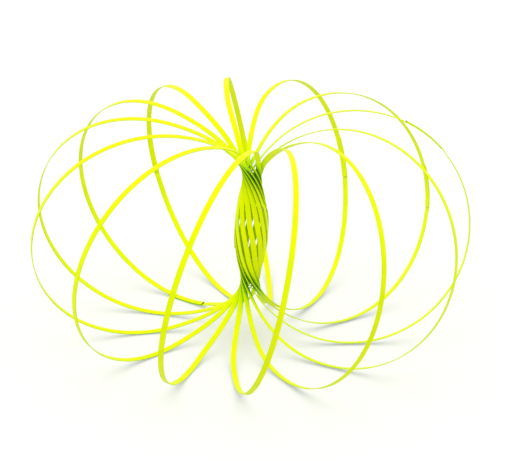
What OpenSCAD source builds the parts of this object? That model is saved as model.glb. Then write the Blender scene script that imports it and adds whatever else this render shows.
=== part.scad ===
// Spring ring toy: thirteen flat sprung hoops, linked through one another.
// Every hoop passes once through a narrow twisted core and once round the outside,
// so together they stand open as a see-through doughnut.
// The origin is the centre of the core, and +Z is the axis of the core.

/* [Hoops] */
// Radius of each hoop, to the middle of its band
hoop_radius = 65; // [60:1:75]
// Distance from the core axis to each band at mid height
core_radius = 9; // [9:0.5:12]
// Angle between each hoop's plane and the table
tilt = 78; // [76:0.5:79]

/* [Band] */
// Width of the spring band
band_width = 3; // [2:0.25:3]
// Thickness of the spring band
band_thickness = 0.5; // [0.2:0.05:0.5]

/* [Lap joint] */
// Length over which the two ends of a band overlap
lap_length = 25; // [10:1:30]

/* [Hidden] */
$fn = 240;

// Direction of each hoop round the core axis, in degrees: the gaps are a little uneven,
// as they are when the ring is set down by hand
hoop_azimuth = [5, 34, 64, 92, 119, 144, 168, 194, 222, 250, 277, 303, 333];
// Where each lap joint starts, in degrees round its hoop from the outermost point:
// those from 167 to 170 are in the core
lap_start = [42, 349, 350, 348, 351, 258, 168, 170, 169, 167, 170, 168, 169];

// Distance from the core axis to the centre of each hoop
hoop_offset = hoop_radius - core_radius;
// Turn along the hoop that the lap joint covers
lap_angle = lap_length / (2 * PI * hoop_radius) * 360;
coating = [0.88, 0.96, 0.05];

// A length of band bent on edge round the hoop's own axis
module band_arc(inner_radius, outer_radius, angle) {
    rotate_extrude(angle = angle)
        translate([inner_radius, -band_width / 2])
            square([outer_radius - inner_radius, band_width]);
}

// One closed band, with a second layer where its ends overlap and are spot welded
module closed_band(start) {
    band_arc(hoop_radius - band_thickness / 2, hoop_radius + band_thickness / 2, 360);
    rotate([0, 0, start])
        band_arc(hoop_radius, hoop_radius + 1.5 * band_thickness, lap_angle);
}

// Hoop number i, counted from 0, in its place round the core
module hoop(i) {
    color(coating)
        rotate([0, 0, hoop_azimuth[i]])
            translate([hoop_offset, 0, 0])
                rotate([tilt, 0, 0])
                    closed_band(lap_start[i]);
}

hoop(0);  // hoop_01
hoop(1);  // hoop_02
hoop(2);  // hoop_03
hoop(3);  // hoop_04
hoop(4);  // hoop_05
hoop(5);  // hoop_06
hoop(6);  // hoop_07
hoop(7);  // hoop_08
hoop(8);  // hoop_09
hoop(9);  // hoop_10
hoop(10);  // hoop_11
hoop(11);  // hoop_12
hoop(12);  // hoop_13
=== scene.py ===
"""Spring ring toy: thirteen linked hoops of coated flat spring band, on a white table."""
import math

import bpy
import numpy as np
from mathutils import Matrix, Vector


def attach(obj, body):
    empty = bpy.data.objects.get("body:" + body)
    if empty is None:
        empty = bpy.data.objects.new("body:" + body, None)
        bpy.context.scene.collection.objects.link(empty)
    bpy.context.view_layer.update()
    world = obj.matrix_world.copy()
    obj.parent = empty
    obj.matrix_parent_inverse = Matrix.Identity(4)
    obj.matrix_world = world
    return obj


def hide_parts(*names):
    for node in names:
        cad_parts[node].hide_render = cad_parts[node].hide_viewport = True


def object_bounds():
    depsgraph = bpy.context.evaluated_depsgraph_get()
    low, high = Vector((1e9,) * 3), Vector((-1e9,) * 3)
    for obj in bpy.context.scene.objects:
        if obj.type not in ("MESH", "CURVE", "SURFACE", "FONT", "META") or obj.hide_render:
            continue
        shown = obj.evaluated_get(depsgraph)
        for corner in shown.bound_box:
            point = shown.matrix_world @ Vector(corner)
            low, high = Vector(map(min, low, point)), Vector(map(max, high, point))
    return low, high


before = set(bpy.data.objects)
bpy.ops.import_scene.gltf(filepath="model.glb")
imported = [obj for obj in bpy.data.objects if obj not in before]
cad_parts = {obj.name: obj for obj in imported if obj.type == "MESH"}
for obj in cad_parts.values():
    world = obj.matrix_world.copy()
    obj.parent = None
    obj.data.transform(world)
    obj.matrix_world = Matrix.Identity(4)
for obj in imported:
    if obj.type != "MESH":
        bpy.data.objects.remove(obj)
cad_low, cad_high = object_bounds()

MM = 0.001

# ---------------------------------------------------------------- band dimensions
BAND_WIDTH = 3.0 * MM
BAND_THICKNESS = 0.5 * MM
EDGE_ROUND = 0.12 * MM       # rounding of the band's corners, coating included
LAYER_GAP = 0.02 * MM        # clearance between the two layers of a lap joint
FIRST_LAYER = 0.75           # thicknesses outside the middle line where the outer layer starts
CLIMB = 4.0 * MM             # length over which the band climbs onto its own other end
CLIMB_RISE = 0.9             # share of that length in which it rises
END_RADIUS = 0.7 * MM        # rounded corners at each cut end of the band
END_SHARES = (0.0, 0.04, 0.15, 0.3, 0.5, 0.75, 1.0)   # where sections go along a corner

# ---------------------------------------------------------------- spot welds and joint marks: weld stains, and painted shade at the cut ends
WELD_PLACES = (0.22, 0.5, 0.78)   # as shares of the lap's length
WELD_RADIUS = 0.75 * MM
WELD_DEPTH = 0.07 * MM
WELD_REACH = 2.0             # weld radii beyond which the band is untouched
WELD_WALL = 1.3              # how steep the wall of the dent is
WELD_LIP = (0.35, 1.25, 0.28)     # raised lip: height in depths, place and width in radii
WELD_STAIN = 1.5             # weld radii at which its mark ends
WELD_MARK = 0.4              # how dark a weld's stain is, next to a cut end's painted shade
CUT_END_SHADE_REACH = 0.8 * MM          # how far the painted shade of the step reaches from a cut end
DARK_MARKED_JOINTS = ("hoop_01", "hoop_06")   # their weld stains and painted cut-end shade are plain to see
FAINT_MARK = 0.08            # how strongly the other joints are marked

# ---------------------------------------------------------------- bend of the bands in the core
# Angles are in degrees round the hoop, either side of the core's mid height.
CORE_LEAN = 3.1 * MM         # how far the bands press each other sideways at the core's two ends
LEAN_REACH = 36.0            # where the lean is full
LEAN_FADE = (38.0, 78.0)     # where the lean fades out again
CORE_PRESS = 0.3 * MM        # how far the bands press towards the core's axis at mid height
PRESS_REACH = 25.0           # how quickly the press falls away from mid height

# ---------------------------------------------------------------- mesh resolution
FLAT_STEPS = 8               # faces across the flat of the band
EDGE_STEPS = 4               # points round each rounded corner
LONG_STEP = 0.9 * MM         # spacing of the sections round the open part of a hoop
LAP_STEP = 0.3 * MM          # spacing of the sections at the lap joint
FRAME_STEP = 1e-3            # radians either side, when finding which way the band runs
UV_SCALE = 1.0 / (450 * MM)  # a whole strip of band fits in one unit of UV

# ---------------------------------------------------------------- colours of the coating, and painted shade between the bands
LIT_TONES = ((0.35, (0.615, 0.72, 0.0, 1.0)), (0.7, (0.685, 0.77, 0.0, 1.0)))
RIM_TONE = (0.47, 0.61, 0.0, 1.0)
# Dark stain round the spot welds, and painted shade of the step at each cut end of the band.
JOINT_SHADE_AND_STAIN_TONE = (0.03, 0.09, 0.004, 1.0)
PAINTED_SHADE_REACH = 8.0 * MM      # how near other bands have to be for a face to get painted shade
PAINTED_SHADE_TONES = ((0.22, (0.008, 0.22, 0.0, 1.0)),      # darkest painted shade, deep between the bands
                (0.5, (0.48, 0.92, 0.0, 1.0)),
                (0.8, (1.0, 1.0, 1.0, 1.0)))          # no painted shade, out in the open

# ---------------------------------------------------------------- table, light and camera
TABLE_SIZE = 6.0
TABLE_GLOW = 0.36            # strength of the light table's own glow
OVERHEAD_SIZE, OVERHEAD_WATTS = 3.6, 54.0
OVERHEAD_PLACE = (0.0, 0.1, 2.4)      # above the table top
LEFT_SIZE, LEFT_WATTS = 1.8, 8.0
LEFT_PLACE = (-1.8, -1.2, 1.2)
SURROUND_COLOUR = (1.0, 1.0, 0.97, 1.0)
CAMERA_DISTANCE = 1.2533
CAMERA_ELEVATION = math.radians(23.41)
CAMERA_ROLL = math.radians(1.13)
CAMERA_LENS = 163.2
CAMERA_TARGET = (0.8 * MM, 0.0, -0.74 * MM)


# ================================================================ hoops
class Hoop:
    """A hoop's circle, read from its CAD mesh: centre, plane and where its lap joint is."""

    def __init__(self, node):
        self.node = node
        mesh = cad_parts[node].data
        points = np.array([v.co[:] for v in mesh.vertices])
        middle = points.mean(axis=0)
        self.normal = np.linalg.svd(points - middle, full_matrices=False)[2][2]
        if self.normal[2] < 0:
            self.normal = -self.normal
        ring = points
        for _ in range(3):           # each round leaves more of the lap's outer layer out
            self.centre = self.fitted_centre(ring)
            radii = self.radii(points)
            ring = points[radii < np.median(radii) + BAND_THICKNESS]
            self.radius = self.radii(ring).mean()
            ring = points[radii < self.radius + BAND_THICKNESS * FIRST_LAYER]
        outward = np.array([self.centre[0], self.centre[1], 0.0])
        outward -= self.normal * outward.dot(self.normal)
        self.across = outward / np.linalg.norm(outward)
        self.up = np.cross(self.normal, self.across)
        self.find_lap(points)

    def fitted_centre(self, ring):
        """Least squares centre of a circle through points that lie near its plane."""
        offset = ring - ring.mean(axis=0)
        axis_a = np.linalg.svd(offset, full_matrices=False)[2][0]
        axis_b = np.cross(self.normal, axis_a)
        x, y = offset @ axis_a, offset @ axis_b
        rows = np.column_stack([2 * x, 2 * y, np.ones(len(x))])
        a, b, _ = np.linalg.lstsq(rows, x * x + y * y, rcond=None)[0]
        return ring.mean(axis=0) + a * axis_a + b * axis_b

    def radii(self, points):
        """Distances of points from the hoop's axis."""
        offset = points - self.centre
        flat = offset - np.outer(offset @ self.normal, self.normal)
        return np.linalg.norm(flat, axis=1)

    def find_lap(self, points):
        """The angles at which the second layer of band starts and ends."""
        outer = points[self.radii(points) > self.radius + BAND_THICKNESS]
        offset = outer - self.centre
        angles = np.sort(np.arctan2(offset @ self.up, offset @ self.across) % (2 * np.pi))
        gaps = np.diff(np.append(angles, angles[0] + 2 * np.pi))
        widest = int(gaps.argmax())
        self.lap_start = angles[(widest + 1) % len(angles)]
        self.lap_angle = 2 * np.pi - gaps[widest]

    def middle_line(self, angle):
        """The middle of the bent band: outward direction from the hoop's centre, and point."""
        outward = math.cos(angle) * self.across + math.sin(angle) * self.up
        pressed, leaned = core_bend(angle)
        return outward, self.centre + (self.radius + pressed) * outward + leaned * self.normal

    def frame_at(self, angle):
        """Middle point of the bent band, and its thickness and width directions."""
        outward, point = self.middle_line(angle)
        along = self.middle_line(angle + FRAME_STEP)[1] - self.middle_line(angle - FRAME_STEP)[1]
        along /= np.linalg.norm(along)
        width_way = np.cross(outward, along)
        width_way /= np.linalg.norm(width_way)
        return point, np.cross(along, width_way), width_way


def smooth_step(x):
    """0 up to x = 0, 1 from x = 1, and a smooth curve between."""
    x = min(max(x, 0.0), 1.0)
    return x * x * (3 - 2 * x)


def core_bend(angle):
    """How far the band is bent off its circle at an angle: outwards, and along the hoop's axis."""
    from_middle = math.degrees(math.remainder(angle - math.pi, 2 * math.pi))
    distance = abs(from_middle)
    begin, end = LEAN_FADE
    kept = 1.0 - smooth_step((distance - begin) / (end - begin))
    lean = CORE_LEAN * smooth_step(distance / LEAN_REACH) * kept
    press = CORE_PRESS * math.exp(-(distance / PRESS_REACH) ** 2)
    return -press, -math.copysign(lean, from_middle)


# ================================================================ band mesh
def band_section():
    """The band's outline: (radial, sideways, edge) going round once, edge being 1 on the rim."""
    flat_half = BAND_WIDTH / 2 - EDGE_ROUND
    rim_half = BAND_THICKNESS / 2 - EDGE_ROUND
    half = []
    for i in range(FLAT_STEPS):
        half.append((BAND_THICKNESS / 2, flat_half * (2 * i / FLAT_STEPS - 1), 0.0))
    for corner, from_turn in ((rim_half, 0.0), (-rim_half, math.pi / 2)):
        for i in range(EDGE_STEPS):
            turn = from_turn + math.pi / 2 * i / (EDGE_STEPS - 1)
            half.append((corner + EDGE_ROUND * math.cos(turn),
                         flat_half + EDGE_ROUND * math.sin(turn), 1.0))
    half.pop()               # the other half starts with this point
    return half + [(-radial, -sideways, edge) for radial, sideways, edge in half]


def band_stations(hoop):
    """Distances along the strip, from its covered end to its open end, where sections go."""
    turn = 2 * math.pi * hoop.radius
    lap = hoop.lap_angle * hoop.radius
    total = turn + lap
    corner = [END_RADIUS * share for share in END_SHARES]
    fine_start = np.arange(END_RADIUS, lap + LAP_STEP, LAP_STEP)[1:]
    open_part = np.arange(fine_start[-1] + LONG_STEP, turn - CLIMB - LONG_STEP / 2, LONG_STEP)
    fine_end = np.arange(turn - CLIMB, total - END_RADIUS, LAP_STEP)
    ends = [total - c for c in reversed(corner)]
    return np.concatenate([corner, fine_start, open_part, fine_end, ends]), turn, lap, total


def end_squeeze(distance):
    """How much the rounded corners narrow the band, this far from its cut end."""
    if distance >= END_RADIUS:
        return 1.0
    missing = END_RADIUS - distance
    depth = END_RADIUS - math.sqrt(END_RADIUS ** 2 - missing ** 2)
    return 1.0 - depth / (BAND_WIDTH / 2)


def weld_dent(along, sideways, welds):
    """Depth of the dent left by the nearest spot weld, and how strongly it is marked."""
    nearest = min(math.hypot(along - weld, sideways) for weld in welds)
    reach = nearest / WELD_RADIUS
    if reach > WELD_REACH:
        return 0.0, 0.0
    height, place, width = WELD_LIP
    lip = height * math.exp(-((reach - place) / width) ** 2)
    dent = math.exp(-(reach * WELD_WALL) ** 4) - lip
    return WELD_DEPTH * dent, max(0.0, 1.0 - reach / WELD_STAIN)


def band_piece(hoop):
    """One strip of band bent into a hoop, its open end lying on its covered end."""
    section = band_section()
    stations, turn, lap, total = band_stations(hoop)
    welds = [lap * share for share in WELD_PLACES]
    strength = 1.0 if hoop.node in DARK_MARKED_JOINTS else FAINT_MARK
    vertices, edge_mark, joint_mark = [], [], []
    for along in stations:
        climb = smooth_step((along - turn + CLIMB) / (CLIMB * CLIMB_RISE))
        lift = climb * (BAND_THICKNESS + LAYER_GAP)
        point, thickness_way, width_way = hoop.frame_at(hoop.lap_start + along / hoop.radius)
        from_end = min(along, total - along)
        squeeze = end_squeeze(from_end)
        for radial, sideways, edge in section:
            dent = mark = 0.0
            if edge == 0.0 and radial > 0 and along > turn:
                dent, mark = weld_dent(along - turn, sideways, welds)
            elif edge == 0.0 and radial < 0 and along < lap:
                dent, mark = weld_dent(along, sideways, welds)
                dent = -dent
            vertices.append(point + (lift + radial - dent) * thickness_way
                            + sideways * squeeze * width_way)
            edge_mark.append(edge)
            # Painted shade of the step at each cut end of the band.
            cut_end_shade = smooth_step(1.0 - from_end / CUT_END_SHADE_REACH)
            joint_mark.append(strength * max(mark * WELD_MARK, cut_end_shade))
    return swept_mesh(hoop.node + "_band", vertices, stations, section, edge_mark, joint_mark)


def swept_mesh(name, vertices, stations, section, edge_mark, joint_mark):
    """A closed tube of quads through the sections, capped at both ends. Its faces wind inwards."""
    around = len(section)
    faces, uvs = [], []
    across = [sideways for _, sideways, _ in section]
    for row in range(len(stations) - 1):
        for i in range(around):
            j = (i + 1) % around
            faces.append((row * around + i, row * around + j,
                          (row + 1) * around + j, (row + 1) * around + i))
            low, high = stations[row], stations[row + 1]
            uvs += [(low, across[i]), (low, across[j]), (high, across[j]), (high, across[i])]
    last = (len(stations) - 1) * around
    faces.append(tuple(reversed(range(around))))
    uvs += [(stations[0], across[i]) for i in reversed(range(around))]
    faces.append(tuple(last + i for i in range(around)))
    uvs += [(stations[-1], across[i]) for i in range(around)]

    mesh = bpy.data.meshes.new(name)
    mesh.from_pydata([tuple(v) for v in vertices], [], faces)
    layer = mesh.uv_layers.new(name="band")
    layer.data.foreach_set("uv", np.array(uvs).ravel() * UV_SCALE)
    for attribute, values in (("edge", edge_mark), ("joint", joint_mark)):
        data = mesh.attributes.new(attribute, "FLOAT", "POINT")
        data.data.foreach_set("value", values)
    mesh.polygons.foreach_set("use_smooth", [len(f) == 4 for f in faces])
    mesh.validate()
    piece = bpy.data.objects.new(name, mesh)
    bpy.context.scene.collection.objects.link(piece)
    return piece


# ================================================================ material
def node_adder(material):
    """A function that adds a node to the material, with its inputs set or linked."""
    tree = material.node_tree

    def add(kind, inputs=None, **settings):
        node = tree.nodes.new(kind)
        for key, value in settings.items():
            setattr(node, key, value)
        for key, value in (inputs or {}).items():
            socket = node.inputs[key]
            if isinstance(value, bpy.types.NodeSocket):
                tree.links.new(value, socket)
            else:
                socket.default_value = value
        return node
    return add


def empty_material(name):
    material = bpy.data.materials.new(name)
    material.use_nodes = True
    material.node_tree.nodes.clear()
    return material, node_adder(material)


def colour_ramp(add, factor, stops):
    """A colour ramp through the stops, each a position and a colour."""
    ramp = add("ShaderNodeValToRGB", {"Fac": factor})
    elements = ramp.color_ramp.elements
    while len(elements) < len(stops):
        elements.new(0.5)
    for element, (position, colour) in zip(elements, stops):
        element.position = position
        element.color = colour
    return ramp.outputs["Color"]


def coated_band_material():
    """Fluorescent yellow-green coating on spring steel: satin, faintly brushed along the band,
    with painted shade where other bands lie near.
    """
    material, add = empty_material("fluorescent_coating")

    uv = add("ShaderNodeUVMap", uv_map="band").outputs["UV"]
    along_band = add("ShaderNodeMapping", {"Vector": uv, "Scale": (90.0, 2200.0, 1.0)})
    brushing = add("ShaderNodeTexNoise", {"Vector": along_band.outputs["Vector"], "Scale": 1.0,
                                          "Detail": 4.0, "Roughness": 0.6})
    position = add("ShaderNodeTexCoord").outputs["Object"]
    peel = add("ShaderNodeTexNoise", {"Vector": position, "Scale": 1400.0, "Detail": 2.0})
    mottle = add("ShaderNodeTexNoise", {"Vector": position, "Scale": 90.0, "Detail": 3.0})
    edge = add("ShaderNodeAttribute", attribute_name="edge").outputs["Fac"]
    joint = add("ShaderNodeAttribute", attribute_name="joint").outputs["Fac"]

    tone = colour_ramp(add, mottle.outputs["Fac"], LIT_TONES)
    rub = add("ShaderNodeMath", {0: edge, 1: peel.outputs["Fac"]}, operation="MULTIPLY")
    rubbed = add("ShaderNodeMix", {"Factor": rub.outputs[0], "A": tone, "B": RIM_TONE},
                 data_type="RGBA")
    # Dark weld stains, and painted shade at the cut ends.
    joint_shaded_and_stained = add("ShaderNodeMix", {"Factor": joint, "A": rubbed.outputs["Result"],
                                 "B": JOINT_SHADE_AND_STAIN_TONE}, data_type="RGBA")

    # Painted shade: the coating's colour is multiplied darker and greener where other bands lie
    # near.
    openness = add("ShaderNodeAmbientOcclusion", {"Distance": PAINTED_SHADE_REACH}, samples=8)
    shade = colour_ramp(add, openness.outputs["AO"], PAINTED_SHADE_TONES)
    coated = add("ShaderNodeMix", {"Factor": 1.0, "A": joint_shaded_and_stained.outputs["Result"], "B": shade},
                 data_type="RGBA", blend_type="MULTIPLY")

    roughness = add("ShaderNodeMapRange", {"Value": brushing.outputs["Fac"],
                                           "To Min": 0.35, "To Max": 0.55})
    brushed = add("ShaderNodeBump", {"Height": brushing.outputs["Fac"], "Strength": 0.25,
                                     "Distance": 0.01 * MM})
    textured = add("ShaderNodeBump", {"Height": peel.outputs["Fac"], "Strength": 0.35,
                                      "Distance": 0.02 * MM, "Normal": brushed.outputs["Normal"]})
    shader = add("ShaderNodeBsdfPrincipled", {
        "Base Color": coated.outputs["Result"],
        "Roughness": roughness.outputs["Result"],
        "Normal": textured.outputs["Normal"],
        "Specular IOR Level": 0.08,
        "Specular Tint": (1.0, 1.0, 0.2, 1.0),
        # Faint painted glow standing in for the coating's fluorescence: it keeps the shaded parts
        # green.
        "Emission Color": (0.1, 0.5, 0.0, 1.0),
        "Emission Strength": 0.04,
    })
    add("ShaderNodeOutputMaterial", {"Surface": shader.outputs["BSDF"]})
    return material


def table_material():
    """Matt white table top that glows faintly, as a light table does, and is faintly uneven."""
    material, add = empty_material("white_table")
    position = add("ShaderNodeTexCoord").outputs["Object"]
    cloud = add("ShaderNodeTexNoise", {"Vector": position, "Scale": 3.0, "Detail": 2.0})
    tone = add("ShaderNodeMapRange", {"Value": cloud.outputs["Fac"],
                                      "To Min": 0.41, "To Max": 0.43})
    shader = add("ShaderNodeBsdfPrincipled", {"Base Color": tone.outputs["Result"],
                                              "Roughness": 0.75,
                                              "Emission Color": (1.0, 1.0, 0.93, 1.0),
                                              "Emission Strength": TABLE_GLOW})
    add("ShaderNodeOutputMaterial", {"Surface": shader.outputs["BSDF"]})
    return material


# ================================================================ stage, light and camera
def build_table(height):
    mesh = bpy.data.meshes.new("table_top")
    half = TABLE_SIZE / 2
    mesh.from_pydata([(-half, -half, height), (half, -half, height),
                      (half, half, height), (-half, half, height)], [], [(0, 1, 2, 3)])
    table = bpy.data.objects.new("table_top", mesh)
    mesh.materials.append(table_material())
    bpy.context.scene.collection.objects.link(table)


def area_light(name, place, size, power):
    """A square softbox aimed at the middle of the toy."""
    light = bpy.data.lights.new(name, "AREA")
    light.shape = "SQUARE"
    light.size = size
    light.energy = power
    lamp = bpy.data.objects.new(name, light)
    lamp.location = place
    lamp.rotation_euler = (-place).to_track_quat("-Z", "Y").to_euler()
    bpy.context.scene.collection.objects.link(lamp)


def build_lights(height):
    table_top = Vector((0.0, 0.0, height))
    area_light("overhead_softbox", table_top + Vector(OVERHEAD_PLACE),
               OVERHEAD_SIZE, OVERHEAD_WATTS)
    area_light("left_softbox", table_top + Vector(LEFT_PLACE), LEFT_SIZE, LEFT_WATTS)
    world = bpy.data.worlds.new("warm_white_surround")
    world.use_nodes = True
    background = world.node_tree.nodes["Background"]
    background.inputs["Color"].default_value = SURROUND_COLOUR
    background.inputs["Strength"].default_value = 1.0
    bpy.context.scene.world = world


def build_camera():
    camera = bpy.data.cameras.new("camera")
    camera.lens = CAMERA_LENS
    camera.sensor_width = 36.0
    camera.clip_end = 20.0
    holder = bpy.data.objects.new("camera", camera)
    target = Vector(CAMERA_TARGET)
    back = Vector((0.0, -math.cos(CAMERA_ELEVATION), math.sin(CAMERA_ELEVATION)))
    tilt = Matrix.Rotation(math.pi / 2 - CAMERA_ELEVATION, 4, "X")
    holder.matrix_world = (Matrix.Translation(target + back * CAMERA_DISTANCE) @ tilt
                           @ Matrix.Rotation(CAMERA_ROLL, 4, "Z"))
    bpy.context.scene.collection.objects.link(holder)
    bpy.context.scene.camera = holder


# ================================================================ assembly
build_camera()
build_lights(cad_low.z)
build_table(cad_low.z)

coating = coated_band_material()
for node in sorted(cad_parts):
    piece = band_piece(Hoop(node))
    piece.data.materials.append(coating)
    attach(piece, node)
    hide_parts(node)

bpy.context.scene.view_settings.view_transform = "Standard"
